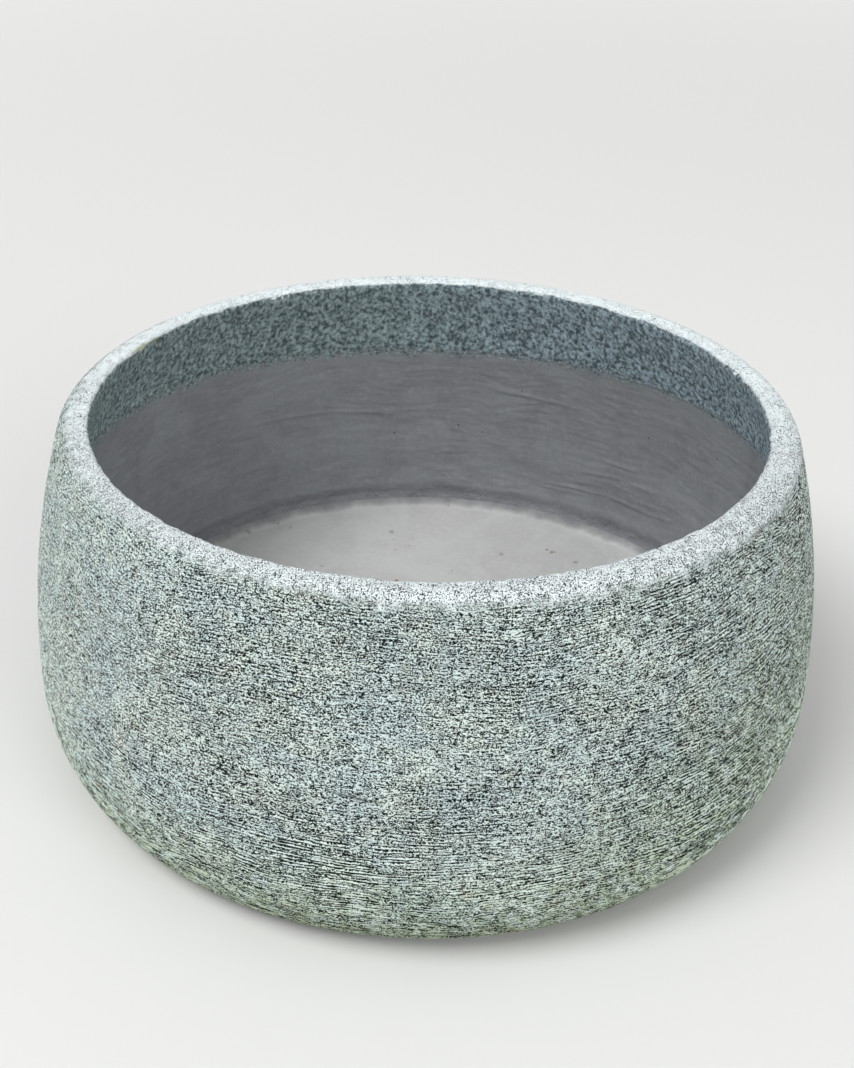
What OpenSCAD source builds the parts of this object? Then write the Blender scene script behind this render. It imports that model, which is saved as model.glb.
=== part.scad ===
// Concrete bowl planter: a hand-laid cement shell with a poured floor screed, a
// combed stone-effect coat outside and over the rim, a smooth coat on the inside
// wall and a rubber plug in the drain hole. Millimetres, +Z up, and the origin is
// on the ground under the centre.

/* [Overall] */
// Widest diameter, across the belly
planter_d = 600; // [540:5:660]
// Height from the ground to the top of the rim
planter_h = 275; // [250:5:300]

/* [Outside curve] */
// Height of the widest line above the ground
belly_h = 75; // [64:1:90]
// Radius of the long arc from the belly up to the rim
shoulder_r = 620; // [500:10:800]
// Radius of the arc just below the belly
haunch_r = 105; // [96:1:140]
// Radius of the corner that turns under to the foot
foot_r = 42; // [36:1:50]

/* [Rim] */
// Radius of the rim on its outer side
rim_outer_r = 14; // [10:0.5:15]
// Radius of the rim on its inner side
rim_inner_r = 5; // [4.5:0.5:6]

/* [Wall and coats] */
// Thickness of the cement wall by itself
wall_t = 16; // [14:0.5:20]
// Thickness of the stone-effect coat
stone_coat_t = 3; // [2:0.5:4]
// Thickness of the smooth coat on the inside wall
wall_coat_t = 2; // [1:0.5:3]
// How far the stone coat runs down the inside, from the top of the rim
band_h = 70; // [50:1:90]
// Height above the ground at which the stone coat stops outside
coat_foot_h = 5; // [4:0.5:9]

/* [Floor] */
// Height of the finished floor above the ground, beside the wall
floor_h = 36; // [34:1:46]
// Fall of the floor from the wall to the drain hole
floor_fall = 1.5; // [0.5:0.5:3]
// Radius of the cove between the floor and the wall
cove_r = 12; // [8:1:18]
// Height of the cove above the floor
cove_h = 6; // [3:0.5:7]

/* [Foot and drain hole] */
// Radius of the shallow recess under the base
recess_r = 190; // [150:5:215]
// Depth of that recess
recess_h = 4; // [2:0.5:6]
// Inward slope of the side of the recess, so that the shell leaves its mould
recess_draft = 4; // [1:0.5:8]
// Diameter of the drain hole
drain_d = 32; // [24:1:40]

/* [Drain plug] */
// Radial gap between the ribs of the plug and the drain hole
plug_gap = 0.3; // [0.2:0.1:0.6]
// How far the cap of the plug reaches past the hole, all round
cap_lap = 8; // [5:0.5:12]
// Thickness of the cap at its edge
cap_t = 3; // [2:0.5:5]
// Rise of the domed top of the cap
cap_dome = 2; // [1:0.5:4]
// Number of sealing ribs on the shank
rib_count = 4; // [2:1:6]
// Depth of the grooves between the ribs
rib_h = 1.2; // [0.6:0.1:2]
// Thickness of the rubber round the hollow of the shank
plug_wall = 4; // [3:0.5:6]
// Gap between the end of the shank and the mouth of the drain hole under the base
plug_inset = 3; // [1:0.5:6]

/* [Hidden] */

// Straight steps in each arc of a profile
foot_steps = 8;
haunch_steps = 8;
shoulder_steps = 16;
rim_steps = 6;
cove_steps = 6;
dome_steps = 6;
// Steps round each revolve
$fn = 180;
// Slack that carries a cut cleanly past a face
past = 1;

belly_r = planter_d / 2;
// From the outside face to the inside face, with the stone coat on both
body_t = stone_coat_t + wall_t + stone_coat_t;
// Depths below the outside face at which the layers meet
wall_inner_depth = stone_coat_t + wall_t;
wall_coat_depth = wall_inner_depth + wall_coat_t;

// Centres of the arcs of the outside curve, and the angles where one arc hands over
// to the next. Every layer uses the same centres, so that the layers are parallel.
shoulder_c = [belly_r - shoulder_r, belly_h];
haunch_c = [belly_r - haunch_r, belly_h];
foot_turn = -asin((belly_h - foot_r) / (haunch_r - foot_r));
foot_c = haunch_c + (haunch_r - foot_r) * [cos(foot_turn), sin(foot_turn)];
rim_turn = asin((planter_h - rim_outer_r - belly_h) / (shoulder_r - rim_outer_r));
rim_c = shoulder_c + (shoulder_r - rim_outer_r) * [cos(rim_turn), sin(rim_turn)];
lip_arc_r = shoulder_r - body_t + rim_inner_r;
lip_turn = asin((planter_h - rim_inner_r - belly_h) / lip_arc_r);
lip_c = shoulder_c + lip_arc_r * [cos(lip_turn), sin(lip_turn)];

// Levels at which one finish gives way to another
band_z = planter_h - band_h;
base_z = wall_inner_depth;
floor_edge_z = floor_h + cove_h;
seat_z = floor_h - floor_fall;

drain_r = drain_d / 2;
cap_r = drain_r + cap_lap;
rib_r = drain_r - plug_gap;
plug_end_z = recess_h + plug_inset;

function arc(c, r, from, to, steps) =
    [for (i = [0 : steps]) let (a = from + (to - from) * i / steps) c + r * [cos(a), sin(a)]];
function tail(points) = [for (i = [1 : len(points) - 1]) points[i]];
function reversed(points) = [for (i = [len(points) - 1 : -1 : 0]) points[i]];

// The outside curve at a depth below the face: foot, haunch, then shoulder
function skin(depth, top_turn) = concat(
    arc(foot_c, foot_r - depth, -90, foot_turn, foot_steps),
    tail(arc(haunch_c, haunch_r - depth, foot_turn, 0, haunch_steps)),
    tail(arc(shoulder_c, shoulder_r - depth, 0, top_turn, shoulder_steps)));

// The closed outline of the wall, pared down by a depth on every face
function wall_outline(depth) = concat(
    skin(depth, rim_turn),
    tail(arc(rim_c, rim_outer_r - depth, rim_turn, 90, rim_steps)),
    arc(lip_c, rim_inner_r - depth, 90, 180 + lip_turn, rim_steps),
    tail(reversed(skin(body_t - depth, lip_turn))));

// Radius of the haunch at a depth below the face and a height under the belly
function haunch_radius(depth, z) =
    haunch_c[0] + sqrt(pow(haunch_r - depth, 2) - pow(z - belly_h, 2));

// Everything from the axis out to the inner curve at a depth, between two heights
module inside_of(depth, low, high) {
    curve = skin(depth, lip_turn);
    top = curve[len(curve) - 1];
    intersection() {
        polygon(concat(curve, [[0, top[1]], [0, curve[0][1]]]));
        translate([0, low]) square([belly_r, high - low]);
    }
}

// Cast shell: the wall, the base and the low foot that everything stands on
module cement_shell() {
    color("#a6a5a1")
    rotate_extrude()
    polygon(concat(
        [[drain_r, recess_h], [recess_r - recess_draft, recess_h], [recess_r, 0], [foot_c[0], 0]],
        wall_outline(stone_coat_t),
        [[drain_r, base_z]]));
}

// Poured floor: it levels the base, falls to the drain hole and coves up to the wall
module floor_screed() {
    cove_turn = acos(1 - cove_h / cove_r);
    edge_r = haunch_radius(wall_coat_depth, floor_edge_z);
    cove_c = [edge_r - cove_r * sin(cove_turn), floor_h + cove_r];
    color("#b5b2ae")
    rotate_extrude()
    difference() {
        inside_of(wall_inner_depth, base_z, floor_edge_z);
        polygon(concat(
            [[0, floor_edge_z + past], [0, seat_z], [cap_r + past, seat_z]],
            arc(cove_c, cove_r, -90, -90 + cove_turn, cove_steps),
            [[edge_r, floor_edge_z + past]]));
        square([drain_r, floor_edge_z]);
    }
}

// Combed coat: outside, over the rim and down the inside as a band
module stone_coat() {
    color("#a9b5b7")
    rotate_extrude()
    difference() {
        polygon(wall_outline(0));
        polygon(wall_outline(stone_coat_t));
        square([belly_r + past, coat_foot_h]);
        inside_of(body_t / 2, 0, band_z);
    }
}

// Trowelled coat on the inside wall, from the floor up to the band
module wall_coat() {
    color("#8a8587")
    rotate_extrude()
    difference() {
        inside_of(wall_inner_depth, floor_edge_z, band_z);
        inside_of(wall_coat_depth, floor_edge_z - past, band_z + past);
    }
}

// Hollow rubber plug: a domed cap that sits on the floor and a ribbed shank
module drain_plug() {
    cap_round = cap_t / 2;
    dome_rise_r = (pow(cap_r - cap_round, 2) + pow(cap_dome, 2)) / (2 * cap_dome);
    dome_turn = asin((cap_r - cap_round) / dome_rise_r);
    dome_c = [0, seat_z + cap_t + cap_dome - dome_rise_r];
    shank_l = seat_z - plug_end_z;
    pitch = shank_l / rib_count;
    ribs = [for (i = [0 : rib_count - 1], p = [[rib_r - rib_h, 0], [rib_r, pitch / 2], [rib_r - rib_h, pitch / 2]])
        [p[0], plug_end_z + i * pitch + p[1]]];
    hollow_r = rib_r - rib_h - plug_wall;
    color("#2c2c2c")
    rotate_extrude()
    polygon(concat(
        [[0, seat_z - plug_wall], [hollow_r, seat_z - plug_wall], [hollow_r, plug_end_z]],
        ribs,
        [[rib_r - rib_h, seat_z]],
        arc([cap_r - cap_round, seat_z + cap_round], cap_round, -90, 90, rim_steps),
        tail(arc(dome_c, dome_rise_r, 90 - dome_turn, 90, dome_steps))));
}

cement_shell();
floor_screed();
stone_coat();
wall_coat();
drain_plug();
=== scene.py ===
from math import acos, asin, ceil, cos, pi, radians, sin

import bpy
import numpy as np
from mathutils import Matrix, Vector


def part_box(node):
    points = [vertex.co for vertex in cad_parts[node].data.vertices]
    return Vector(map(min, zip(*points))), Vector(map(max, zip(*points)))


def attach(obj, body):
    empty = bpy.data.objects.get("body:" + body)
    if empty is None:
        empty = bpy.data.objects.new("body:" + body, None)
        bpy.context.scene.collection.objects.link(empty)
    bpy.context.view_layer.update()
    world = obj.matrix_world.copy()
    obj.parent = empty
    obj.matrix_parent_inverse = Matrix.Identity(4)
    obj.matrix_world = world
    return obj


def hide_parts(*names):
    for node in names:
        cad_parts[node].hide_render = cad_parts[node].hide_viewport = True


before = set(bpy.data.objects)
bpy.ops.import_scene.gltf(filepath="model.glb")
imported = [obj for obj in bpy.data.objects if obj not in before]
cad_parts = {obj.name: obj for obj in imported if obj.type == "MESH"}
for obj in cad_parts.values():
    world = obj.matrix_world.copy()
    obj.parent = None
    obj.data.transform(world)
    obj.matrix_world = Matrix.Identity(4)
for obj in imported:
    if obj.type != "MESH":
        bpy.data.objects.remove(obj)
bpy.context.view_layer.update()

scene = bpy.context.scene

# Concrete bowl planter, in metres: a combed stone-effect coat outside and over the rim,
# a trowelled coat on the inside wall, a poured floor, and raw cement underneath.

# The curve of the bowl, as it was cast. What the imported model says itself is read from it.
bowl = {
    "radius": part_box("stone_coat")[1].x,
    "height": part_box("stone_coat")[1].z,
    "bellyHeight": 0.075,      # widest line above the ground
    "shoulderRadius": 0.620,   # long arc from the belly up to the rim
    "haunchRadius": 0.105,     # arc just under the belly
    "footRadius": 0.042,       # corner that turns under to the foot
    "rimOuterRadius": 0.014,
    "rimInnerRadius": 0.005,
    "coatDepth": 0.003,        # the stone coat's thickness
    "cementDepth": 0.019,      # the cement's inside face, below the outside face
    "wallCoatDepth": 0.021,    # the trowelled coat's face, below the outside face
    "bandDepth": 0.022,        # the stone coat's face on the inside
    "coatFoot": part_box("stone_coat")[0].z,
    "bandHeight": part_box("wall_coat")[1].z,
    "floorEdge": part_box("floor_screed")[1].z,
    "screedBase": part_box("floor_screed")[0].z,
}

# Radii and centres of the arcs, and the angles at which one hands over to the next
shoulderR, haunchR, footR = bowl["shoulderRadius"], bowl["haunchRadius"], bowl["footRadius"]
rimR, lipR = bowl["rimOuterRadius"], bowl["rimInnerRadius"]
wallR, wallLowR = shoulderR - bowl["wallCoatDepth"], haunchR - bowl["wallCoatDepth"]
cementR, cementLowR = shoulderR - bowl["cementDepth"], haunchR - bowl["cementDepth"]
bellyZ = bowl["bellyHeight"]
shoulderC = np.array([bowl["radius"] - shoulderR, bellyZ])
haunchC = np.array([bowl["radius"] - haunchR, bellyZ])
footReach = haunchR - footR
footTurn = -asin((bellyZ - footR) / footReach)
footC = haunchC + footReach * np.array([cos(footTurn), sin(footTurn)])
rimReach = shoulderR - rimR
rimTurn = asin((bowl["height"] - rimR - bellyZ) / rimReach)
rimC = shoulderC + rimReach * np.array([cos(rimTurn), sin(rimTurn)])
lipReach = shoulderR - bowl["bandDepth"] + lipR
lipTurn = asin((bowl["height"] - lipR - bellyZ) / lipReach)
lipC = shoulderC + lipReach * np.array([cos(lipTurn), sin(lipTurn)])


def turnAt(centre, radius, height):
    # angle at which an arc passes a height
    return asin((height - centre[1]) / radius)


def sweep(centre, radius, fromTurn, toTurn, step, side=1):
    # rows along an arc: distance from the axis, height, and the way its face looks
    count = ceil(abs(toTurn - fromTurn) * radius / step) + 1
    turn = np.linspace(fromTurn, toTurn, count)
    away = np.stack([np.cos(turn), np.sin(turn)], 1)
    return np.hstack([centre + radius * away, side * away])


def straight(start, end, step, look):
    count = ceil(np.hypot(*np.subtract(end, start)) / step) + 1
    place = np.linspace(start, end, count)
    return np.hstack([place, np.tile(look, (count, 1))])


def chain(*runs):
    # joins runs of rows; where two meet, the first row of the second is left out
    return np.vstack([runs[0]] + [run[1:] for run in runs[1:]])


def lengths(rows):
    # distance along the rows, from the first
    return np.concatenate([[0], np.cumsum(np.hypot(*np.diff(rows[:, :2], axis=0).T))])


def smooth(low, high, value):
    t = np.clip((value - low) / (high - low), 0, 1)
    return t * t * (3 - 2 * t)


def revolve(name, rows, along, columns, fromAngle=0.0, toAngle=2 * pi, strips=1, closed=False):
    # Sweeps rows round the axis into quads. along is the distance along the rows that the
    # patterns follow. A sheet that doesn't go all the way round gets flat ends if closed.
    # strips is into how many pieces the bake's map cuts the ring.
    full = toAngle - fromAngle > 2 * pi - 1e-6
    angle = np.linspace(fromAngle, toAngle, columns + 1)[: columns if full else columns + 1]
    rowCount, columnCount = len(rows), len(angle)
    across = np.stack([np.cos(angle), np.sin(angle), 0 * angle], 1)
    up = np.array([0, 0, 1])

    def rings(outward, upward):
        return outward[:, None, None] * across + upward[:, None, None] * up

    radius, height, lookOut, lookUp = rows.T
    place, look, onward = rings(radius, height), rings(lookOut, lookUp), rings(-lookUp, lookOut)
    drawn = rings(np.full(rowCount, patternRadius), along)

    i = np.arange(rowCount if closed else rowCount - 1)[:, None]
    j = np.arange(columns)[None, :]
    low, high = i * columnCount, (i + 1) % rowCount * columnCount
    nextJ = (j + 1) % columnCount
    quads = np.stack([low + j, low + nextJ, high + nextJ, high + j], -1).reshape(-1, 4)
    faces = quads.tolist()
    if closed and not full:
        ends = np.arange(rowCount) * columnCount
        faces += [ends.tolist(), (ends + columns)[::-1].tolist()]
    mesh = bpy.data.meshes.new(name)
    mesh.from_pydata(place.reshape(-1, 3).tolist(), [], faces)
    mesh.polygons.foreach_set("use_smooth", np.arange(len(faces)) < len(quads))
    mesh.set_sharp_from_angle(angle=radians(50))

    addNumbers(mesh, drawn=drawn, look=look, onward=onward)

    # the map that a bake reads: rows up, columns across, cut into strips laid one above another
    uv = mesh.uv_layers.new(name="OFBake")
    span = lengths(rows)
    whole = span[-1] + 0.002       # with the row of faces that closes the loop
    span = np.append(span, whole) / whole
    perStrip = ceil(columns / strips)
    left = (j % perStrip) / perStrip + 0 * i
    right = (j % perStrip + 1) / perStrip + 0 * i
    low, high = span[i] + 0 * j, span[i + 1] + 0 * j
    shelf = (j // perStrip + 0 * i) / strips
    around = (left, low), (right, low), (right, high), (left, high)
    corners = np.stack([np.stack(corner, -1) for corner in around], 2)
    margin = 0.004
    corners[..., 0] = margin + (1 - 2 * margin) * corners[..., 0]
    corners[..., 1] = shelf[..., None] + (margin + (1 - 2 * margin) * corners[..., 1]) / strips
    flat = np.zeros((len(mesh.loops), 2), np.float32)
    flat[: corners.size // 2] = corners.reshape(-1, 2)
    uv.data.foreach_set("uv", flat.ravel())
    return mesh, np.repeat(np.arange(rowCount), columnCount), np.tile(angle, rowCount)


def addNumbers(mesh, **given):
    # a number or a vector for each vertex, under each name
    for label, values in given.items():
        values = np.asarray(values, np.float32)
        kind, field = ("FLOAT_VECTOR", "vector") if values.ndim > 1 else ("FLOAT", "value")
        mesh.attributes.new(label, kind, "POINT").data.foreach_set(field, values.ravel())


def distanceRound(angle, bearing, radius):
    # distance round the bowl from a bearing in degrees
    return radius * ((angle - radians(bearing) + pi) % (2 * pi) - pi)


# A node tree is written as arithmetic. Each Value knows the tree that it is in, so a sum with
# it adds the nodes there.
class Value:
    def __init__(self, tree, socket):
        self.tree, self.socket = tree, socket

    def __add__(self, other):
        return calc("ADD", self, other)

    def __radd__(self, other):
        return calc("ADD", other, self)

    def __sub__(self, other):
        return calc("SUBTRACT", self, other)

    def __rsub__(self, other):
        return calc("SUBTRACT", other, self)

    def __mul__(self, other):
        return calc("MULTIPLY", self, other)

    def __truediv__(self, other):
        return calc("DIVIDE", self, other)

    def __rtruediv__(self, other):
        return calc("DIVIDE", other, self)


class Node:
    # a node whose outputs are read as Values, by name or by number
    def __init__(self, tree, made):
        self.tree, self.made = tree, made

    def __getitem__(self, key):
        return Value(self.tree, self.made.outputs[key])


def add(tree, kind, values=None, **settings):
    made = tree.nodes.new(kind)
    for name, value in settings.items():
        setattr(made, name, value)
    for key, value in (values or {}).items():
        if isinstance(value, Value):
            tree.links.new(value.socket, made.inputs[key])
        else:
            made.inputs[key].default_value = value
    return Node(tree, made)


def treeOf(values):
    return next(value.tree for value in values if isinstance(value, Value))


def isVector(value):
    return value.socket.type in ("VECTOR", "RGBA") if isinstance(value, Value) else isinstance(value, tuple)


def calc(operation, *values, clamp=False):
    # vector maths if one of the values is a vector or a colour
    tree, given = treeOf(values), dict(enumerate(values))
    if not any(isVector(value) for value in values):
        return add(tree, "ShaderNodeMath", given, operation=operation, use_clamp=clamp)[0]
    if operation == "MULTIPLY" and not isVector(values[1]):
        operation, given = "SCALE", {0: values[0], 3: values[1]}
    return add(tree, "ShaderNodeVectorMath", given, operation=operation)[0]


def combine(x=0.0, y=0.0, z=0.0):
    return add(treeOf((x, y, z)), "ShaderNodeCombineXYZ", {0: x, 1: y, 2: z})[0]


def partsOf(vector):
    return add(vector.tree, "ShaderNodeSeparateXYZ", {0: vector})


def noise(place, size, detail=2.0, rough=0.5, warp=0.0):
    # cloudy noise whose blots are about one and a half times size across
    if isinstance(size, (int, float)):
        scale = 1 / size
    else:
        place, scale = place / size, 1.0
    given = {"Vector": place, "Scale": scale, "Detail": detail, "Roughness": rough, "Distortion": warp}
    return add(place.tree, "ShaderNodeTexNoise", given)[0]


def swing(place, *settings):
    # the same noise, about zero
    return noise(place, *settings) - 0.5


def ramp(value, low, high, toLow=0.0, toHigh=1.0):
    given = {"Value": value, "From Min": low, "From Max": high, "To Min": toLow, "To Max": toHigh}
    return add(value.tree, "ShaderNodeMapRange", given, interpolation_type="SMOOTHSTEP")[0]


def mixColour(amount, first, second):
    return add(amount.tree, "ShaderNodeMix", {0: amount, 6: first, 7: second}, data_type="RGBA")[2]


def mixNumber(amount, first, second):
    return add(amount.tree, "ShaderNodeMix", {0: amount, 2: first, 3: second}, data_type="FLOAT")[0]


def readNumber(tree, name, kind="FLOAT", result="Fac"):
    # what addNumbers left on the mesh
    if tree.bl_idname == "GeometryNodeTree":
        return add(tree, "GeometryNodeInputNamedAttribute", {"Name": name}, data_type=kind)[0]
    return add(tree, "ShaderNodeAttribute", attribute_name=name)[result]


def readVector(tree, name):
    return readNumber(tree, name, "FLOAT_VECTOR", "Vector")


def socketsOf(tree, inputs, outputs):
    # declares a group's sockets: name, kind, and a value for a number
    for name, kind, *value in inputs:
        socket = tree.interface.new_socket(name=name, in_out="INPUT", socket_type="NodeSocket" + kind)
        if value:
            socket.default_value = value[0]
    for name, kind in outputs:
        tree.interface.new_socket(name=name, in_out="OUTPUT", socket_type="NodeSocket" + kind)


def startGroup(name, numbers, results, treeType="ShaderNodeTree"):
    # a group that takes a place and named numbers, and gives numbers
    tree = bpy.data.node_groups.new(name, treeType)
    inputs = [("Place", "Vector")] + [(label, "Float", value) for label, value in numbers.items()]
    socketsOf(tree, inputs, [(label, "Float") for label in results])
    return tree, add(tree, "NodeGroupInput")


def colour(red, green, blue):
    # a screen colour from 0 to 255, as Blender's linear one
    shares = [value / 255 for value in (red, green, blue)]
    return (*[c / 12.92 if c <= 0.04 else ((c + 0.055) / 1.055) ** 2.4 for c in shares], 1.0)


# The comb marks. One recipe, in millimetre-sized strokes, both cuts the mesh and darkens the paint.
patternRadius = 0.285          # the patterns are drawn on a cylinder of this radius
comb = {
    "Stroke Length": 0.0016,   # a dark fleck, along the bowl
    "Stroke Height": 0.00074,  # and up it
    "Comb Length": 0.022,      # how far a comb line runs
    "Comb Pitch": 0.0025,
    "Dab Size": 0.00075,       # specks on the rim, where nothing was combed
    "Blotch Size": 0.0037,     # dabs of the brush inside
    "Pale Line": -0.0123,      # where the pale rim ends, along the curve from the crest
    "Pale Slope": 0.022,       # how much lower it ends towards +X
    "Inside Line": 0.012,      # where the inside begins
    "Press": 1.8,              # how much harder the comb was pressed low down and towards +X, with painted shade in the grooves towards +X
    "Foot Comb": 0.8,          # how much plainer the comb lines show low down
    "Pale Side": 0.022,        # painted light: how much paler the coat is towards -X
    "Side Contrast": 1.6,      # how much starker the flecks are towards both sides, as painted shade and highlight of light raking over the relief
    "Dark Side": 0.012,        # painted shade: how much darker the coat is towards +X
    "Seed": 4.0,
}
blotchGrain = (2.0, 0.62)      # detail and roughness of the brush's dabs
blotchRange = (0.20, 0.74)     # from the pale ones to the dark ones


def makeCoatPattern(treeType):
    tree, given = startGroup("Coat pattern", comb, ("Pit", "Groove", "Clump", "Rim", "Inside"), treeType)
    spot = given["Place"] + given["Seed"] * (0.31, 0.17, 0.23)
    plan = partsOf(given["Place"])
    toRight, toBack, along = plan[0], plan[1], plan[2]

    # the hand wanders, so the comb lines drift up and down and stop and start
    drift = swing(spot, 0.11, 1.0) * 0.022
    drift += swing(spot, (0.018, 0.018, 0.007), 1.0) * 0.0026
    combed = spot + combine(z=drift)
    strokeSize = combine(given["Stroke Length"], given["Stroke Length"], given["Stroke Height"])
    hairSize = strokeSize * (4.5, 4.5, 1.0)
    runSize = combine(given["Comb Length"], given["Comb Length"], given["Comb Pitch"] * 1.3)
    tooth = calc("SINE", (along + drift) / given["Comb Pitch"] * (2 * pi))
    run = ramp(noise(combed, runSize, 1.0), 0.40, 0.58)
    clump = noise(spot, 0.0085, 3.0, 0.6)
    patch = noise(spot, 0.065)
    # the comb was pressed harder low down and towards +X; towards +X its darker lines are also painted shade
    # in the grooves
    pressAndGrooveShade = calc("MAXIMUM", ramp(along, -0.13, -0.22, 1.0, given["Press"]),
                 ramp(toRight, 0.04, 0.20, 1.0, given["Press"]))
    combing = run * ramp(patch, 0.40, 0.60, 0.35, 1.0) * pressAndGrooveShade

    # above the pale line the coat is rubbed smooth, and inside it is only dabbed on
    edge = given["Pale Line"] - toRight * given["Pale Slope"] + (clump - 0.5) * 0.016
    rim = ramp(along - edge, -0.006, 0.005)
    ragged = swing(spot, 0.003, 3.0, 0.65) * 0.0036 + swing(spot, 0.024) * 0.0065
    inside = ramp(along - given["Inside Line"] + ragged, -0.0012, 0.0010)

    # strokes, flecks, hairs, broad clouds and the comb's own lines, all in one field
    cloud = (clump - 0.5) * 0.17
    low = ramp(along, -0.140, -0.215)
    field = swing(combed, strokeSize, 1.0, 0.5, 0.2) * 0.80
    field += swing(spot, given["Dab Size"], 1.0) * ramp(low, 0.0, 1.0, 0.70, 0.58)
    field += swing(combed, hairSize, 1.0, 0.5, 0.1) * (pressAndGrooveShade * 0.32)
    field += cloud + (patch - 0.5) * 0.09
    # painted light towards -X and painted shade towards +X
    field -= ramp(toRight, -0.12, -0.26, 0.0, given["Pale Side"])
    field += ramp(toRight, 0.08, 0.22, 0.0, given["Dark Side"])
    field += tooth * combing * 0.075 * (1.0 + low * given["Foot Comb"])
    # starker flecks towards both sides: painted shade and highlight of raking light
    field *= ramp(calc("ABSOLUTE", toRight), 0.08, 0.22, 1.0, given["Side Contrast"])
    # the ground between the strokes is grey only, the strokes themselves are nearly black: dark stone, with
    # painted shadow in the pits
    combedPit = ramp(field, -0.15, 0.0, 0.0, 0.32) + ramp(field, -0.004, 0.040, 0.0, 0.68)

    # fewer specks on top of the rim, and fewest at the back: partly the rubbed finish, partly a painted
    # highlight where light falls brightest
    speck = noise(spot, given["Dab Size"] * 1.22, 2.0, 0.62) + cloud
    speck -= ramp(along, -0.010, 0.006, 0.0, 0.020)
    speck -= ramp(toBack, -0.18, 0.12, 0.0, 0.045)
    rimPit = ramp(speck, 0.508, 0.574)
    scale = 1.0 / given["Blotch Size"]
    grains = partsOf(add(tree, "ShaderNodeTexVoronoi", {"Vector": spot, "Scale": scale})["Color"])
    blotch = noise(spot, given["Blotch Size"], *blotchGrain) + cloud * 1.6 + (grains[0] - 0.5) * 0.14
    pit = mixNumber(inside, mixNumber(rim, combedPit, rimPit), ramp(blotch, *blotchRange))
    groove = ramp(tooth, -0.4, 1.0) * combing * (1.0 - rim)
    add(tree, "NodeGroupOutput", {"Pit": pit, "Groove": groove, "Clump": clump, "Rim": rim, "Inside": inside})
    return tree


# Groups for the finishes
def makeGrainGroup():
    # fine sand in the cement: a tone to multiply by, and a height
    tree, given = startGroup("Sand grain", {"Size": 0.0008, "Strength": 0.2}, ("Tone", "Height"))
    grain = noise(given["Place"], given["Size"], 3.0, 0.7)
    add(tree, "NodeGroupOutput", {"Tone": 1.0 + (grain - 0.5) * given["Strength"], "Height": grain})
    return tree


def makeStainGroup():
    # soft patches where the cement dried unevenly
    tree, given = startGroup("Damp patches", {"Size": 0.05, "Amount": 1.0}, ("Mask",))
    cloud = noise(given["Place"], given["Size"], 4.0, 0.62, 0.6)
    mask = calc("MULTIPLY", ramp(cloud, 0.36, 0.66), given["Amount"], clamp=True)
    add(tree, "NodeGroupOutput", {"Mask": mask})
    return tree


def makePinholeGroup():
    # small air holes of several sizes, a few of them together
    tree, given = startGroup("Pinholes", {"Spacing": 0.012, "Share": 0.4}, ("Hole",))
    scale = 1.0 / given["Spacing"]
    cells = add(tree, "ShaderNodeTexVoronoi", {"Vector": given["Place"], "Scale": scale})
    pick = add(tree, "ShaderNodeSeparateColor", {0: cells["Color"]})
    width = ramp(pick[1], 0.0, 1.0, 0.03, 0.09) * calc("LESS_THAN", pick[0], given["Share"])
    hole = ramp(cells["Distance"], width * 0.55, width + 0.0005, 1.0, 0.0)
    add(tree, "NodeGroupOutput", {"Hole": hole * calc("GREATER_THAN", width, 0.001)})
    return tree


def makeDustGroup():
    # dust that settles on what faces up
    tree, given = startGroup("Dust", {"Size": 0.006, "Amount": 0.5}, ("Mask",))
    up = partsOf(add(tree, "ShaderNodeNewGeometry")["Normal"])[2]
    cloud = noise(given["Place"], given["Size"], 4.0, 0.7)
    lying = ramp(up, 0.2, 0.95) * ramp(cloud, 0.35, 0.75)
    add(tree, "NodeGroupOutput", {"Mask": calc("MULTIPLY", lying, given["Amount"], clamp=True)})
    return tree


grainGroup = makeGrainGroup()
stainGroup = makeStainGroup()
pinholeGroup = makePinholeGroup()
dustGroup = makeDustGroup()
coatPaintGroup = makeCoatPattern("ShaderNodeTree")
coatCutGroup = makeCoatPattern("GeometryNodeTree")


def useGroup(group, place, **values):
    kind = "GeometryNodeGroup" if group.bl_idname == "GeometryNodeTree" else "ShaderNodeGroup"
    return add(place.tree, kind, {"Place": place, **values}, node_tree=group)


def startMaterial(name, roughness, specular=0.3):
    material = bpy.data.materials.new(name)
    material.use_nodes = True
    shader = next(n for n in material.node_tree.nodes if n.type == "BSDF_PRINCIPLED")
    shader.inputs["Roughness"].default_value = roughness
    shader.inputs["Specular IOR Level"].default_value = specular
    return material, shader, add(material.node_tree, "ShaderNodeTexCoord")["Object"]


def useShader(shader, **values):
    for name, value in values.items():
        value.tree.links.new(value.socket, shader.inputs[name.replace("_", " ")])


def bump(height, distance, strength=1.0, under=None):
    given = {"Height": height, "Distance": distance, "Strength": strength}
    if under is not None:
        given["Normal"] = under
    return add(height.tree, "ShaderNodeBump", given)[0]


print("finishes")
stoneLook = {
    "pale": colour(226, 240, 233),
    "cool": colour(209, 228, 229),
    # dark stone in the pits, darkened further as painted shadow
    "dark": colour(6, 17, 15),
    "rubbed": colour(231, 240, 242),
    # the band inside, darker than the coat outside: partly its own colour, partly painted shade inside the
    # bowl
    "bandPale": colour(165, 184, 184),
    "bandBlue": colour(177, 197, 207),   # towards +X, lighter and bluer as painted sky light
    "bandDark": colour(68, 81, 85),
    "wall": colour(140, 142, 145),
    # moss, and painted green light from the lawn
    "mossy": colour(190, 211, 172),
    # painted shade at the foot, tinted green by lawn light
    "soiled": colour(168, 178, 150),
    "sand": colour(216, 208, 184),
    "lichen": colour(150, 152, 84),
    "rust": colour(136, 92, 58),
}
wallLook = {
    "base": colour(137, 140, 144),
    "damp": colour(125, 127, 132),
    "burnished": colour(150, 152, 155),
    "dusty": colour(158, 160, 162),
    "hole": colour(72, 73, 75),
    # painted shade in the hollow under the ledge, and grime
    "grime": colour(112, 114, 116),
}
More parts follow.
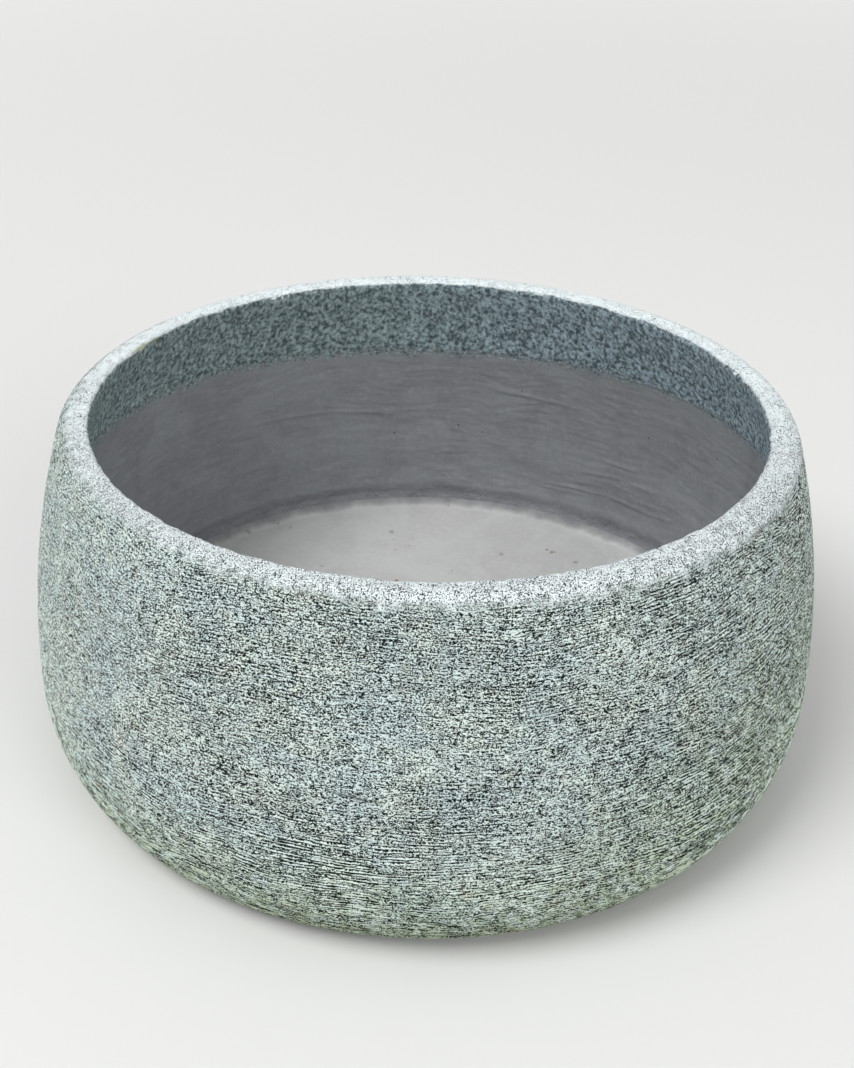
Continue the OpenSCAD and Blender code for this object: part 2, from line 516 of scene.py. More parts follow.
floorLook = {
    "base": colour(207, 208, 206),
    "damp": colour(196, 196, 195),
    "dusty": colour(216, 216, 212),
    "hole": colour(104, 102, 98),
    "crumb": colour(120, 104, 84),
    # painted shade in the corner beside the wall
    "skirt": colour(132, 134, 136),
}
cementLook = {
    "base": colour(170, 168, 163),
    "damp": colour(148, 147, 144),
    "hole": colour(92, 90, 86),
}
rubberLook = {
    "base": colour(44, 44, 45),
    "dust": colour(128, 124, 118),
}

# Specks on the floor: x, y, radius, tone
specks = [(-0.168, 0.206, 0.0030, "hole"), (-0.130, 0.218, 0.0022, "hole"), (-0.034, 0.214, 0.0038, "hole"),
          (0.069, 0.178, 0.0024, "hole"), (0.117, 0.184, 0.0036, "crumb"), (0.137, 0.167, 0.0030, "hole"),
          (0.022, 0.143, 0.0016, "hole"), (0.023, 0.147, 0.0016, "hole"), (-0.095, 0.150, 0.0020, "crumb"),
          (0.060, -0.120, 0.0030, "crumb"), (-0.110, -0.060, 0.0024, "hole"), (0.150, -0.040, 0.0026, "hole")]


def makeStoneFinish():
    material, shader, here = startMaterial("Combed stone coat", 0.9)
    drawn = readVector(here.tree, "drawn")
    scrape = readNumber(here.tree, "scrape")
    fringe = readNumber(here.tree, "fringe")
    spot = partsOf(readVector(here.tree, "spots"))
    marks = useGroup(coatPaintGroup, drawn, **comb)
    grain = useGroup(grainGroup, here, Size=0.0005, Strength=0.22)
    patches = useGroup(stainGroup, here, Size=0.045, Amount=0.8)
    side, height = partsOf(here)[0], partsOf(here)[2]

    ground = mixColour(patches["Mask"], stoneLook["pale"], stoneLook["cool"])
    # the foot is tinted green, partly moss and partly painted green light from the lawn, and so is the wall a
    # little higher up towards +X
    greenTop = ramp(side, 0.06, 0.24, 0.120, 0.300)
    foot = ramp(height, greenTop, 0.020) * ramp(marks["Clump"], 0.30, 0.6)
    ground = mixColour(foot * 0.75, ground, stoneLook["mossy"])
    # painted shade on the turned-under foot, tinted green as painted lawn light, darker towards the ground
    shadeReach = height - marks["Clump"] * 0.030
    ground = mixColour(ramp(shadeReach, 0.036, -0.004, 0.0, 0.75), ground, stoneLook["soiled"])
    sandy = ramp(noise(here, 0.012, 3.0, 0.6), 0.55, 0.72)
    ground = mixColour(sandy * 0.32, ground, stoneLook["sand"])
    ground = mixColour(marks["Rim"], ground, stoneLook["rubbed"])
    # the band is darker than outside as painted shade, and paler and bluer towards +X as painted light
    band = mixColour(ramp(side, -0.16, 0.20), stoneLook["bandPale"], stoneLook["bandBlue"])
    ground = mixColour(marks["Inside"], ground, band)
    # nearly black outside, dark stone with painted shadow in its pits; the band's darker dabs inside
    dark = mixColour(marks["Inside"], stoneLook["dark"], stoneLook["bandDark"])

    pit = calc("MAXIMUM", marks["Pit"], scrape * 0.85)
    smear = ramp(spot[0] + noise(drawn, 0.0022, 3.0, 0.7) * 1.2, 1.00, 1.14)
    painted = mixColour(pit, ground, dark)
    painted = mixColour(smear, painted, stoneLook["rubbed"])
    # near its lower edge inside, the band lets the wall through
    gap = noise(drawn, 0.0030, 3.0, 0.65) + fringe * 0.10
    gap = ramp(gap, 0.58, 0.64) * ramp(fringe, 0.0, 0.3)
    painted = mixColour(gap, painted, stoneLook["wall"])
    painted = mixColour(spot[1] * 0.75, painted, stoneLook["lichen"])
    painted = mixColour(spot[2] * 0.80, painted, stoneLook["rust"])
    rough = bump((pit - smear) * -1.0, 0.0006, 0.8)
    useShader(shader, Base_Color=painted * grain["Tone"], Normal=bump(grain["Height"], 0.0003, 0.6, rough))
    return material


def makeWallFinish():
    material, shader, here = startMaterial("Trowelled cement coat", 0.82)
    drawn = readVector(here.tree, "drawn")
    grain = useGroup(grainGroup, here, Size=0.0009, Strength=0.16)
    damp = useGroup(stainGroup, here, Size=0.055, Amount=1.0)
    holes = useGroup(pinholeGroup, here, Spacing=0.012, Share=0.34)
    sweeps = noise(drawn, (0.035, 0.035, 0.005), 4.0, 0.62, 0.3)
    mottle = noise(here, 0.0045, 4.0, 0.68)
    base = mixColour(damp["Mask"], wallLook["base"], wallLook["damp"])
    base = mixColour(ramp(sweeps, 0.38, 0.68, 0.0, 0.35), base, wallLook["burnished"])
    base = mixColour(ramp(mottle, 0.50, 0.72, 0.0, 0.40), base, wallLook["dusty"])
    base = mixColour(ramp(mottle, 0.45, 0.30, 0.0, 0.35), base, wallLook["damp"])
    base = mixColour(holes["Hole"], base, wallLook["hole"])
    # specks of the stone coat that splashed down from the band
    reach = readNumber(here.tree, "splash")
    drops = noise(drawn, 0.0030, 3.0, 0.65) - reach * 0.26
    drops = ramp(drops, 0.30, 0.24) * ramp(reach, 0.0, 0.2)
    blotch = ramp(noise(drawn, comb["Blotch Size"], *blotchGrain), *blotchRange)
    base = mixColour(drops, base, mixColour(blotch, stoneLook["bandPale"], stoneLook["bandDark"]))
    # darker in patches over the hollow beside the floor: painted shade under the proud ledge, and some grime
    patches = swing(drawn, (0.040, 0.040, 0.014), 3.0, 0.6)
    hollow = ramp(readNumber(here.tree, "hollow") + patches, 0.50, 1.10)
    grime = ramp(noise(drawn, (0.022, 0.022, 0.006), 4.0, 0.65), 0.36, 0.62, 0.05, 0.55)
    base = mixColour(grime * hollow, base, wallLook["grime"])
    # thin cracks, where the coat was drawn down to the floor
    split = calc("ABSOLUTE", swing(drawn, (0.030, 0.030, 0.0045), 3.0, 0.6))
    crack = ramp(split, 0.016, 0.003) * hollow
    base = mixColour(crack * 0.6, base, wallLook["hole"])
    relief = bump(holes["Hole"] * -1.0, 0.0008)
    relief = bump(sweeps, 0.0005, 0.7, relief)
    relief = bump(mottle, 0.0004, 0.7, relief)
    useShader(shader, Base_Color=base * grain["Tone"], Roughness=ramp(sweeps, 0.2, 0.8, 0.74, 0.9),
              Normal=bump(grain["Height"], 0.0002, 0.5, relief))
    return material


def makeScreedFinish():
    material, shader, here = startMaterial("Poured floor", 0.88)
    grain = useGroup(grainGroup, here, Size=0.0011, Strength=0.14)
    damp = useGroup(stainGroup, here, Size=0.05, Amount=0.8)
    holes = useGroup(pinholeGroup, here, Spacing=0.018, Share=0.30)
    crumbs = useGroup(pinholeGroup, here, Spacing=0.034, Share=0.55)
    mottle = noise(here, 0.0060, 4.0, 0.68)
    base = mixColour(damp["Mask"], floorLook["base"], floorLook["damp"])
    base = mixColour(ramp(mottle, 0.48, 0.70, 0.0, 0.5), base, floorLook["dusty"])
    base = mixColour(holes["Hole"], base, floorLook["hole"])
    base = mixColour(crumbs["Hole"] * 0.8, base, floorLook["crumb"])
    # painted shade along the floor's edge, in the corner where it meets the wall, reaching inwards in tongues
    tongues = swing(here, 0.026, 4.0, 0.65) * 0.8
    skirt = ramp(readNumber(here.tree, "edge") + tongues, 0.45, 1.15)
    base = mixColour(skirt, base, floorLook["skirt"])
    # the specks lie flat on the floor, with uneven outlines
    ripple = add(here.tree, "ShaderNodeTexNoise", {"Vector": here, "Scale": 420.0, "Detail": 3.0})["Color"]
    flat = (here + (ripple * 0.010 - (0.005, 0.005, 0.005))) * (1, 1, 0)
    for x, y, radius, tone in specks:
        away = add(here.tree, "ShaderNodeVectorMath", {0: flat, 1: (x, y, 0)}, operation="DISTANCE")[1]
        base = mixColour(ramp(away, radius * 1.1, radius * 0.2, 0.0, 0.60), base, floorLook[tone])
    relief = bump(holes["Hole"] * -1.0, 0.0006)
    relief = bump(mottle, 0.0004, 0.5, relief)
    useShader(shader, Base_Color=base * grain["Tone"], Normal=bump(grain["Height"], 0.0003, 0.5, relief))
    return material


def makeCementFinish():
    material, shader, here = startMaterial("Raw cast cement", 0.9)
    grain = useGroup(grainGroup, here, Size=0.0012, Strength=0.16)
    damp = useGroup(stainGroup, here, Size=0.04, Amount=1.0)
    holes = useGroup(pinholeGroup, here, Spacing=0.010, Share=0.55)
    base = mixColour(damp["Mask"], cementLook["base"], cementLook["damp"])
    base = mixColour(holes["Hole"], base, cementLook["hole"])
    relief = bump(holes["Hole"] * -1.0, 0.0009)
    useShader(shader, Base_Color=base * grain["Tone"], Normal=bump(grain["Height"], 0.0004, 0.6, relief))
    return material


def makeRubberFinish():
    material, shader, here = startMaterial("Plug rubber", 0.6, 0.4)
    grain = useGroup(grainGroup, here, Size=0.0006, Strength=0.25)
    dust = useGroup(dustGroup, here, Size=0.005, Amount=0.55)
    base = mixColour(dust["Mask"], rubberLook["base"], rubberLook["dust"])
    useShader(shader, Base_Color=base * grain["Tone"], Roughness=ramp(dust["Mask"], 0.0, 0.6, 0.55, 0.9),
              Normal=bump(grain["Height"], 0.0001, 0.5))
    return material


stoneFinish = makeStoneFinish()
wallFinish = makeWallFinish()
screedFinish = makeScreedFinish()
cementFinish = makeCementFinish()
rubberFinish = makeRubberFinish()


def runTree(mesh, tree, values):
    # puts the tree on the mesh, sets its inputs, and returns the finished mesh
    carrier = bpy.data.objects.new(mesh.name, mesh)
    scene.collection.objects.link(carrier)
    modifier = carrier.modifiers.new("Shape", "NODES")
    modifier.node_group = tree
    for item in tree.interface.items_tree:
        if item.in_out == "INPUT" and item.name in values:
            modifier[item.identifier] = values[item.name]
    bpy.context.view_layer.update()
    evaluated = carrier.evaluated_get(bpy.context.evaluated_depsgraph_get())
    finished = bpy.data.meshes.new_from_object(evaluated)
    carrier.modifiers.remove(modifier)
    carrier.data = finished
    bpy.data.meshes.remove(mesh)
    carrier.data.name = carrier.name
    return carrier


def startTree(name, sizes):
    # the sizes whose names start with a capital are inputs of the tree
    numbers = [(label, "Float", value) for label, value in sizes.items() if label[0].isupper()]
    tree = bpy.data.node_groups.new(name, "GeometryNodeTree")
    tree.is_modifier = True
    socketsOf(tree, [("Geometry", "Geometry")] + numbers + [("Finish", "Material")],
              [("Geometry", "Geometry")])
    return tree, add(tree, "NodeGroupInput")


def push(geometry, offset):
    return add(geometry.tree, "GeometryNodeSetPosition", {"Geometry": geometry, "Offset": offset})[0]


def endTree(geometry, material):
    tree = geometry.tree
    whole = add(tree, "GeometryNodeRealizeInstances", {0: geometry})[0]
    coated = add(tree, "GeometryNodeSetMaterial", {"Geometry": whole, "Material": material})[0]
    add(tree, "NodeGroupOutput", {0: coated})
    return tree


print("stone coat")
coat = {
    "columns": 230,            # across each quarter of the bowl
    "shoulderStep": 0.00086,   # between rows
    "haunchStep": 0.0012,
    "footStep": 0.0016,
    "rimStep": 0.0009,
    "lipStep": 0.0007,
    "bandStep": 0.00115,
    "backStep": 0.014,         # on the hidden side, against the cement
    "Stroke Length": 0.0042,   # strokes as coarse as the mesh can hold; the finish adds the fine ones
    "Stroke Height": 0.0019,
    "Pit Depth": 0.0005,
    "Groove Depth": 0.0004,
    "Wave Depth": 0.0006,
    "Lip Depth": 0.0020,       # how unevenly the inner edge of the rim is worn
    "Ragged Edge": 0.0014,     # of the band, inside
    "scrapeDepth": 0.0011,
    "deepest": 0.0026,         # so that the marks never reach the cement
    "edgeThinning": 0.0008,    # how much thinner the coat is at the band's lower edge
    "calmInside": 0.6,         # share of the relief that is missing inside
    "calmEdge": 0.3,           # and besides, at the band's edge
}
# The band's lower edge isn't level. It stands higher at the sides, lower at the back
bandEdge = {
    "mean": 0.2055,
    "swing": 0.0074,
    "slideFrom": 0.262,        # the rows above this height stay level
    "slideAfter": 0.017,       # and so do those outside, and this near the crest
    "rearRows": 8,             # rows behind the face that follow it
}


def bandEdgeAt(angle):
    return bandEdge["mean"] + bandEdge["swing"] * np.cos(2 * angle)


def coatRows():
    thick, top, bandZ = bowl["coatDepth"], bowl["height"], bowl["bandHeight"]
    bandR = shoulderR - bowl["bandDepth"]
    front = chain(
        sweep(footC, footR, turnAt(footC, footR, bowl["coatFoot"]), footTurn, coat["footStep"]),
        sweep(haunchC, haunchR, footTurn, 0, coat["haunchStep"]),
        sweep(shoulderC, shoulderR, 0, rimTurn, coat["shoulderStep"]),
        sweep(rimC, rimR, rimTurn, pi / 2, coat["rimStep"]),
        straight((rimC[0], top), (lipC[0], top), coat["rimStep"], (0, 1)),
        sweep(lipC, lipR, pi / 2, pi + lipTurn, coat["lipStep"]),
        sweep(shoulderC, bandR, lipTurn, turnAt(shoulderC, bandR, bandZ), coat["bandStep"], -1))
    back = chain(
        sweep(shoulderC, cementR, turnAt(shoulderC, cementR, bandZ), lipTurn, coat["backStep"]),
        sweep(lipC, lipR - thick, pi + lipTurn, pi / 2, 0.002, -1),
        straight((lipC[0], top - thick), (rimC[0], top - thick), 0.006, (0, -1)),
        sweep(rimC, rimR - thick, pi / 2, rimTurn, 0.004, -1),
        sweep(shoulderC, shoulderR - thick, rimTurn, 0, coat["backStep"], -1),
        sweep(haunchC, haunchR - thick, 0, footTurn, 0.008, -1),
        sweep(footC, footR - thick, footTurn, turnAt(footC, footR - thick, bowl["coatFoot"]), 0.006, -1))
    crest = np.argmax((front[:, 0] <= rimC[0] + 1e-6) & (front[:, 1] > top - 1e-6))
    along = lengths(front)
    along = np.concatenate([along - along[crest], np.full(len(back), along[-1] - along[crest])])
    return np.vstack([front, back]), along, len(front)


# Marks of the hand: from and to (degrees round, height), width and depth
scrapes = [
    ((-101.5, 0.1475), (-94.0, 0.1415), 0.0011, 1.0),
    ((-57.0, 0.2162), (-46.5, 0.2126), 0.0010, 0.9),
    ((-61.0, 0.2068), (-55.5, 0.2050), 0.0009, 0.8),
    ((-41.5, 0.2655), (-31.0, 0.2640), 0.0012, 0.8),
    ((-118.0, 0.0980), (-111.0, 0.0965), 0.0010, 0.7),
    ((150.0, 0.1800), (160.0, 0.1765), 0.0011, 0.9),
    ((62.0, 0.1200), (70.0, 0.1235), 0.0010, 0.9),
]


def scrapeWeights(angle, height, radius):
    total = np.zeros(len(angle))
    for (startTurn, startHeight), (endTurn, endHeight), width, depth in scrapes:
        x = distanceRound(angle, startTurn, radius)
        reach = radius * radians(endTurn - startTurn)
        t = np.clip(x / reach, 0, 1)
        away = np.hypot(x - t * reach, height - startHeight - t * (endHeight - startHeight))
        taper = np.sqrt(np.maximum(4 * t * (1 - t), 0))
        total = np.maximum(total, depth * taper * np.exp(-((away / width) ** 2)))
    return total


# Marks of colour: degrees round, distance along the curve from the crest, half width and half height
spots = {
    "smear": [(123.5, 0.0126, 0.0030, 0.0026), (121.8, 0.0140, 0.0011, 0.0030),
              (16.2, 0.0126, 0.0028, 0.0018), (-10.2, 0.0126, 0.0045, 0.0016),
              (68.0, 0.0124, 0.0060, 0.0014)],
    "lichen": [(158.9, 0.0112, 0.0110, 0.0018), (154.0, 0.0125, 0.0050, 0.0012)],
    "rust": [(-137.6, -0.2140, 0.0026, 0.0016), (-70.0, -0.2400, 0.0014, 0.0010)],
}


def spotWeights(angle, along):
    kinds = []
    for kind in ("smear", "lichen", "rust"):
        total = np.zeros(len(angle))
        for turn, where, width, tall in spots[kind]:
            x = distanceRound(angle, turn, patternRadius)
            total = np.maximum(total, np.exp(-((x / width) ** 2) - ((along - where) / tall) ** 2))
        kinds.append(total)
    return np.stack(kinds, 1)


# Nicks in the inner edge of the rim: degrees round, half width in metres, depth as a share
nicks = [(124.5, 0.006, 1.0), (14.5, 0.005, 0.8), (-10.5, 0.008, 0.9), (68.0, 0.010, 0.6),
         (-150.0, 0.006, 0.7), (-72.0, 0.005, 0.5), (40.0, 0.012, 0.7), (171.0, 0.004, 0.8)]
nickRadius = 0.25              # about where the inner edge runs


def nickWeights(angle):
    total = np.zeros(len(angle))
    for turn, width, depth in nicks:
        x = distanceRound(angle, turn, nickRadius)
        total = np.maximum(total, depth * np.exp(-((x / width) ** 2)))
    return total


def makeCoatTree():
    tree, given = startTree("Comb the coat", {**comb, **coat})
    drawn = readVector(tree, "drawn")
    look = readVector(tree, "look")
    onward = readVector(tree, "onward")
    marks = useGroup(coatCutGroup, drawn, **{name: given[name] for name in comb})
    wave = noise(drawn, 0.055) * given["Wave Depth"]
    lip = readNumber(tree, "lip") * given["Lip Depth"] * ramp(noise(drawn, 0.014, 3.0, 0.6), 0.3, 0.75)
    combed = marks["Pit"] * given["Pit Depth"] + marks["Groove"] * given["Groove Depth"]
    total = wave + lip + combed + readNumber(tree, "scrape") * coat["scrapeDepth"]
    total = calc("MINIMUM", total, coat["deepest"]) * readNumber(tree, "front")
    sunk = push(given["Geometry"], look * (total * -1.0))
    # the band's lower edge is frayed, and stands higher or lower round the bowl
    frayed = (noise(drawn, 0.0045, 3.0, 0.65) - 0.55) * 3.0 * given["Ragged Edge"]
    moved = frayed * readNumber(tree, "fray") + readNumber(tree, "slide")
    down = onward * (calc("SIGN", partsOf(onward)[2]) * -1.0)
    return endTree(push(sunk, down * moved), given["Finish"])


def makeCoat():
    rows, along, frontCount = coatRows()
    tree = makeCoatTree()
    number = np.arange(len(rows))
    isFront, shows = number < frontCount, number <= frontCount
    edge = along[frontCount - 1]
    isInside = (along > bandEdge["slideAfter"]) & (number < frontCount + bandEdge["rearRows"])
    fray = smooth(edge - 0.012, edge - 0.001, along) * shows
    fringe = smooth(edge - 0.007, edge, along) * shows
    slideFrom = bandEdge["slideFrom"]
    slide = np.clip((slideFrom - rows[:, 1]) / (slideFrom - bowl["bandHeight"]), 0, 1) * isInside
    # the brush left less relief inside, and hardly any at the band's edge, where the coat is thin too
    calm = coat["calmInside"] * smooth(0.012, 0.020, along)
    calm += coat["calmEdge"] * smooth(edge - 0.012, edge, along)
    relief = isFront * (1 - calm)
    thin = coat["edgeThinning"] * smooth(edge - 0.008, edge, along) * isFront
    rows[:, :2] -= thin[:, None] * rows[:, 2:]
    lipZone = smooth(0.0, 0.006, along) * smooth(0.024, 0.013, along) * isFront
    for side, start in (("right", -pi / 4), ("back", pi / 4), ("left", 3 * pi / 4), ("front", 5 * pi / 4)):
        mesh, row, angle = revolve("coat_" + side, rows, along, coat["columns"], start, start + pi / 2,
                                   closed=True)
        outside = isFront[row] & (along[row] < 0)
        addNumbers(mesh, front=relief[row], fringe=fringe[row], fray=fray[row],
                   slide=slide[row] * (bowl["bandHeight"] - bandEdgeAt(angle)),
                   spots=spotWeights(angle, along[row]),
                   lip=lipZone[row] * (0.55 + 0.9 * nickWeights(angle)),
                   scrape=scrapeWeights(angle, rows[row, 1], bowl["radius"]) * outside)
        piece = runTree(mesh, tree, {**comb, **coat, "Finish": stoneFinish})
        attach(piece, "bowl")
        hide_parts("stone_coat")


makeCoat()

print("wall coat")
wall = {
    "columns": 720,
    "step": 0.00145,
    "tuck": 0.012,             # how far it runs up behind the band
    "ledge": 0.0022,           # how far the lower part stands proud
    "undercut": 0.0008,        # the hollow just above the floor
    "Sweep Depth": 0.0016,
    "Scale Depth": 0.0022,
    "Wave Depth": 0.0010,
    "Ridge Height": 0.0012,
    "Recess": 0.0014,          # of the part behind the band
    "dip": 0.00015,            # of the part just under the band's edge
    "proudFrom": (0.0475, 0.057),      # heights between which the lower part comes forward
    "proudTo": (0.125, 0.09),          # and goes back
    "undercutFrom": (0.0422, 0.0440),
    "undercutTo": (0.051, 0.047),
    "ridgeRadius": 0.275,      # about where the ridges run
}
# Ridges that the trowel left: from and to (degrees round, height), width and height as a share
ridges = [
    ((127.0, 0.1405), (108.0, 0.1385), 0.0016, 1.0),
    ((110.0, 0.1388), (98.5, 0.1325), 0.0015, 0.9),
    ((99.5, 0.1330), (97.0, 0.1318), 0.0028, 1.0),
    ((112.0, 0.1460), (104.0, 0.1400), 0.0014, 0.4),
    ((54.5, 0.1112), (45.5, 0.1128), 0.0014, 0.9),
    ((59.0, 0.0935), (48.0, 0.1003), 0.0014, 0.9),
    ((48.5, 0.0985), (42.0, 0.0998), 0.0014, 0.8),
    ((66.0, 0.0720), (52.0, 0.0766), 0.0014, 1.0),
    ((52.5, 0.0766), (43.0, 0.0757), 0.0014, 1.0),
    ((43.5, 0.0757), (36.0, 0.0815), 0.0014, 0.8),
    ((67.0, 0.0672), (57.5, 0.0706), 0.0013, 0.7),
    ((46.5, 0.0831), (38.5, 0.0870), 0.0013, 0.7),
    ((61.5, 0.0797), (54.5, 0.0854), 0.0013, 0.6),
    ((78.0, 0.1620), (60.0, 0.1570), 0.0018, 0.6),
    ((19.5, 0.1750), (17.6, 0.2080), 0.0012, 0.5),
    ((-40.0, 0.1500), (-75.0, 0.1440), 0.0022, 0.9),
    ((-130.0, 0.1250), (-158.0, 0.1330), 0.0024, 0.8),
    ((175.0, 0.1000), (156.0, 0.1080), 0.0022, 0.7),
]


def ridgeWeights(angle, height, radius):
    total = np.zeros(len(angle))
    for (startTurn, startHeight), (endTurn, endHeight), width, share in ridges:
        x = distanceRound(angle, startTurn, radius)
        reach, rise = radius * radians(endTurn - startTurn), endHeight - startHeight
        t = np.clip((x * reach + (height - startHeight) * rise) / (reach**2 + rise**2), 0, 1)
        away = np.hypot(x - t * reach, height - startHeight - t * rise)
        taper = np.sqrt(np.maximum(4 * t * (1 - t), 0))
        total = np.maximum(total, share * taper * np.exp(-((away / width) ** 2)))
    return total


def makeWallTree():
    tree, given = startTree("Trowel the wall", wall)
    drawn = readVector(tree, "drawn")
    look = readVector(tree, "look")
    swept = drawn + combine(z=swing(drawn, 0.10, 1.0) * 0.05)
    sweeps = swing(swept, (0.050, 0.050, 0.0075), 5.0, 0.58, 0.2) * given["Sweep Depth"]
    scales = swing(swept, (0.015, 0.015, 0.0052), 4.0, 0.6, 0.4) * given["Scale Depth"]
    scales *= ramp(noise(drawn, 0.07), 0.40, 0.62, 0.10, 1.0)
    waves = swing(drawn, 0.06) * given["Wave Depth"]
    total = sweeps + scales + waves + readNumber(tree, "ridge") * given["Ridge Height"]
    total += readNumber(tree, "proud") * (noise(drawn, 0.030, 3.0, 0.6) + 0.5)
    total = mixNumber(readNumber(tree, "near"), total, -wall["dip"])
    total = mixNumber(readNumber(tree, "covered"), total, given["Recess"] * -1.0)
    total *= readNumber(tree, "front")
    return endTree(push(given["Geometry"], look * total), given["Finish"])


def makeWall():
    top, foot = bowl["bandHeight"] + wall["tuck"], bowl["floorEdge"]
    front = chain(
        sweep(shoulderC, wallR, turnAt(shoulderC, wallR, top), 0, wall["step"], -1),
        sweep(haunchC, wallLowR, 0, turnAt(haunchC, wallLowR, foot), wall["step"], -1))
    back = chain(
        sweep(haunchC, cementLowR, turnAt(haunchC, cementLowR, foot), 0, 0.012),
        sweep(shoulderC, cementR, 0, turnAt(shoulderC, cementR, top), 0.03))
    along = np.concatenate([lengths(front), np.full(len(back), lengths(front)[-1])])
    rows = np.vstack([front, back])
    mesh, row, angle = revolve("wall_trowelled", rows, along, wall["columns"], strips=3, closed=True)
    isFront = np.arange(len(rows)) < len(front)
    z = rows[row, 1]
    edge = bandEdgeAt(angle)
    # the lower part stands proud, over a hollow beside the floor
    proud = wall["ledge"] * smooth(*wall["proudFrom"], z) * smooth(*wall["proudTo"], z)
    undercut = wall["undercut"] * smooth(*wall["undercutFrom"], z) * smooth(*wall["undercutTo"], z)
    addNumbers(mesh, front=isFront[row] * smooth(0.042, 0.044, z), proud=proud - undercut,
               hollow=smooth(0.070, 0.045, z), near=smooth(edge - 0.012, edge - 0.002, z),
               covered=smooth(edge - 0.0005, edge + 0.0025, z),
               splash=np.clip(1 - (edge - z) / 0.009, 0, 1),
               ridge=ridgeWeights(angle, z, wall["ridgeRadius"]))
    piece = runTree(mesh, makeWallTree(), {**wall, "Finish": wallFinish})
    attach(piece, "bowl")
    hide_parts("wall_coat")


makeWall()

print("floor")
floor = {
    "columns": 400,
    "step": 0.0032,
    "coveRadius": 0.012,
    "coveHeight": 0.006,
    "fall": 0.0015,            # from the wall down to the drain hole
    "holeRadius": 0.016,
    "seatRadius": 0.025,       # level ring that the plug's cap rests on
    "holeRound": 0.0012,
    "baseRadius": 0.235,       # flat part of its underside
    "baseRise": 0.004,         # from there up to where it follows the shell
    "Wave Depth": 0.0012,
    "Sweep Depth": 0.0005,
}


def makeFloorTree():
    tree, given = startTree("Level the floor", floor)
    here = add(tree, "GeometryNodeInputPosition")[0]
    drawn = readVector(tree, "drawn")
    waves = (noise(here, 0.055) - 0.55) * given["Wave Depth"]
    sweeps = (noise(drawn, (0.12, 0.12, 0.014), 2.0, 0.5, 0.3) - 0.55) * given["Sweep Depth"]
    raised = combine(z=(waves + sweeps) * readNumber(tree, "front"))
    return endTree(push(given["Geometry"], raised), given["Finish"])


def makeFloor():
    edgeRadius = haunchC[0] + wallLowR * cos(turnAt(haunchC, wallLowR, bowl["floorEdge"]))
    coveRadius, coveHeight = floor["coveRadius"], floor["coveHeight"]
    level = bowl["floorEdge"] - coveHeight
    coveTurn = acos(1 - coveHeight / coveRadius)
    coveC = np.array([edgeRadius - coveRadius * sin(coveTurn), level + coveRadius])
    seat = level - floor["fall"]
    hole, nib = floor["holeRadius"], floor["holeRound"]
    nibC = np.array([hole + nib, seat - nib])
    front = chain(
        sweep(coveC, coveRadius, -pi / 2 + coveTurn, -pi / 2, 0.0012, -1),
        straight((coveC[0], level), (floor["seatRadius"], seat), floor["step"], (0, 1)),
        straight((floor["seatRadius"], seat), (nibC[0], seat), 0.002, (0, 1)),
        sweep(nibC, nib, pi / 2, pi, 0.0005),
        straight((hole, nibC[1]), (hole, bowl["screedBase"]), 0.004, (-1, 0)))
    base = bowl["screedBase"]
    back = chain(
        straight((hole, base), (floor["baseRadius"], base), 0.07, (0, -1)),
        sweep(haunchC, cementLowR, turnAt(haunchC, cementLowR, base + floor["baseRise"]),
              turnAt(haunchC, cementLowR, bowl["floorEdge"]), 0.01))
    rows = np.vstack([front, back[1:]])
    along = lengths(rows)
    mesh, row, angle = revolve("floor_poured", rows, along, floor["columns"], closed=True)
    mesh.uv_layers.remove(mesh.uv_layers["OFBake"])
    radius = rows[row, 0]
    isFront = (row < len(front)) & (rows[row, 1] > seat - 1e-6)
    addNumbers(mesh, front=isFront * smooth(0.027, 0.06, radius) * smooth(0.272, 0.262, radius),
               edge=smooth(0.256, 0.273, radius))
    piece = runTree(mesh, makeFloorTree(), {**floor, "Finish": screedFinish})
    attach(piece, "bowl")
    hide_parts("floor_screed")


makeFloor()

print("cement and plug")
for name, finish in (("cement_shell", cementFinish), ("drain_plug", rubberFinish)):
    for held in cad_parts[name].material_slots:
        held.material = finish

print("stage")
stage = {
    "ground": colour(227, 227, 226),
    "white": (1, 1, 1, 1),
    "size": 40.0,
    "key": (592.0, 5.0, (-4.3, -3.5, 8.3)),    # power, size and place
    "fill": (310.0, 6.0, (5.0, -7.0, 4.2)),
    "aim": Vector((0, 0, 0.15)),
    "sky": 0.52,
    "farGlow": 0.62,           # the far floor fades into the white behind it, for the camera only
    "fadeFrom": 1.2,
    "fadeTo": 9.0,
}


def seenDirectly(tree):
    # 1 where the camera looks, also by way of glass or a gloss, and 0 for light that falls on things
    rays = add(tree, "ShaderNodeLightPath")
    direct = calc("MAXIMUM", rays["Is Camera Ray"], rays["Is Glossy Ray"])
    return calc("MAXIMUM", direct, rays["Is Transmission Ray"])


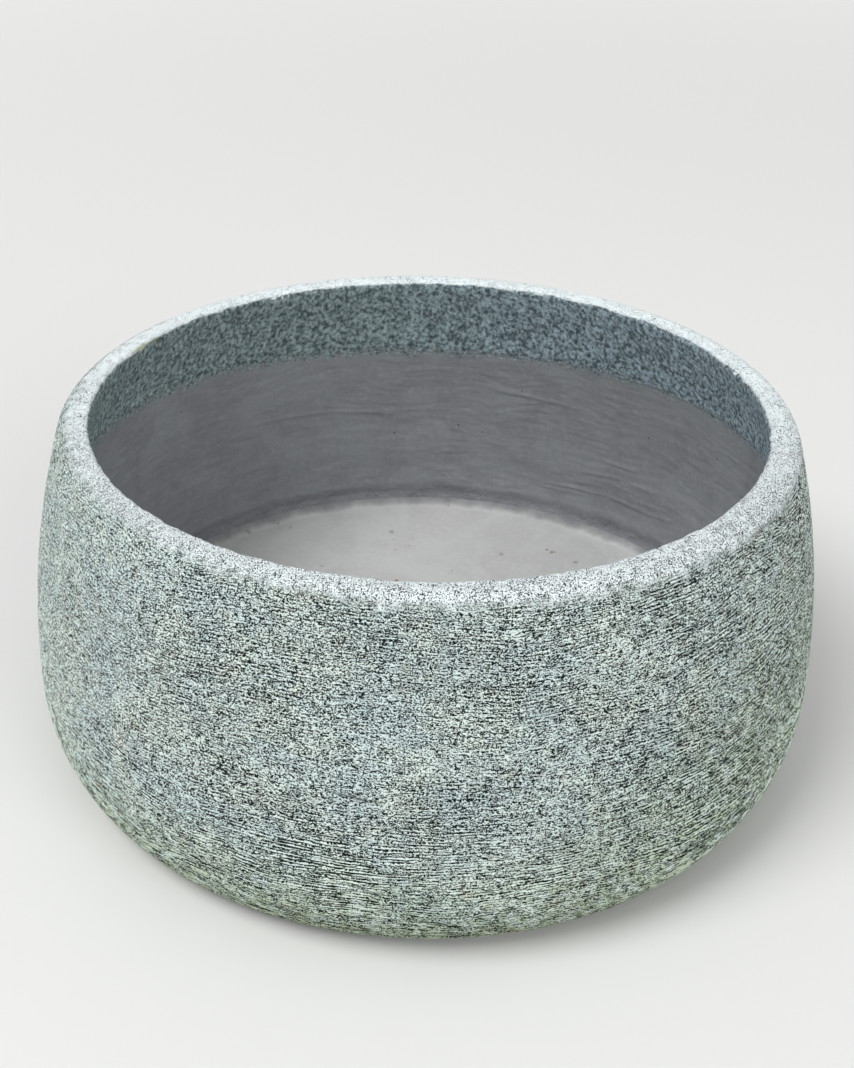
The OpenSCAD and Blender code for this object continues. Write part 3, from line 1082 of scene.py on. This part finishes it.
def makeGround():
    half = stage["size"] / 2
    corners = [(-half, -half, 0), (half, -half, 0), (half, half, 0), (-half, half, 0)]
    mesh = bpy.data.meshes.new("ground")
    mesh.from_pydata(corners, [], [(0, 1, 2, 3)])
    ground = bpy.data.objects.new("ground", mesh)
    scene.collection.objects.link(ground)
    material, shader, here = startMaterial("Studio floor", 0.95, 0.1)
    shader.inputs["Base Color"].default_value = stage["ground"]
    away = add(here.tree, "ShaderNodeVectorMath", {0: here}, operation="LENGTH")[1]
    glow = ramp(away, stage["fadeFrom"], stage["fadeTo"], 0.0, stage["farGlow"])
    shader.inputs["Emission Color"].default_value = stage["white"]
    useShader(shader, Emission_Strength=glow * seenDirectly(here.tree))
    mesh.materials.append(material)


def makeLamp(name, power, size, spot):
    lamp = bpy.data.lights.new(name, "AREA")
    lamp.energy, lamp.size, lamp.shape = power, size, "DISK"
    held = bpy.data.objects.new(name, lamp)
    held.location = spot
    held.rotation_euler = (stage["aim"] - Vector(spot)).to_track_quat("-Z", "Y").to_euler()
    scene.collection.objects.link(held)


makeGround()
makeLamp("key", *stage["key"])
makeLamp("fill", *stage["fill"])

world = bpy.data.worlds.new("Studio")
scene.world = world
world.use_nodes = True
backdrop = next(n for n in world.node_tree.nodes if n.type == "BACKGROUND")
backdrop.inputs["Color"].default_value = stage["white"]
useShader(backdrop, Strength=mixNumber(seenDirectly(world.node_tree), stage["sky"], 1.0))

# Where the photograph was taken from
view = {
    "target": Vector((0, 0, 0.1603)),
    "distance": 1.1251,
    "elevation": radians(30.4506),
    "roll": radians(1.3256),
    "lens": 48.83,             # millimetres, like the sensor's width
    "sensor": 36.0,
    "reach": (0.05, 60),       # what lies nearer or farther isn't drawn
}


def makeCamera():
    lens = bpy.data.cameras.new("camera")
    lens.lens, lens.sensor_width = view["lens"], view["sensor"]
    lens.clip_start, lens.clip_end = view["reach"]
    camera = bpy.data.objects.new("camera", lens)
    back = Vector((0, -cos(view["elevation"]), sin(view["elevation"])))
    camera.location = view["target"] + back * view["distance"]
    turn = (-back).to_track_quat("-Z", "Y").to_matrix().to_4x4() @ Matrix.Rotation(view["roll"], 4, "Z")
    camera.rotation_euler = turn.to_euler()
    scene.collection.objects.link(camera)
    scene.camera = camera


makeCamera()
scene.view_settings.view_transform = "Standard"

print("done")
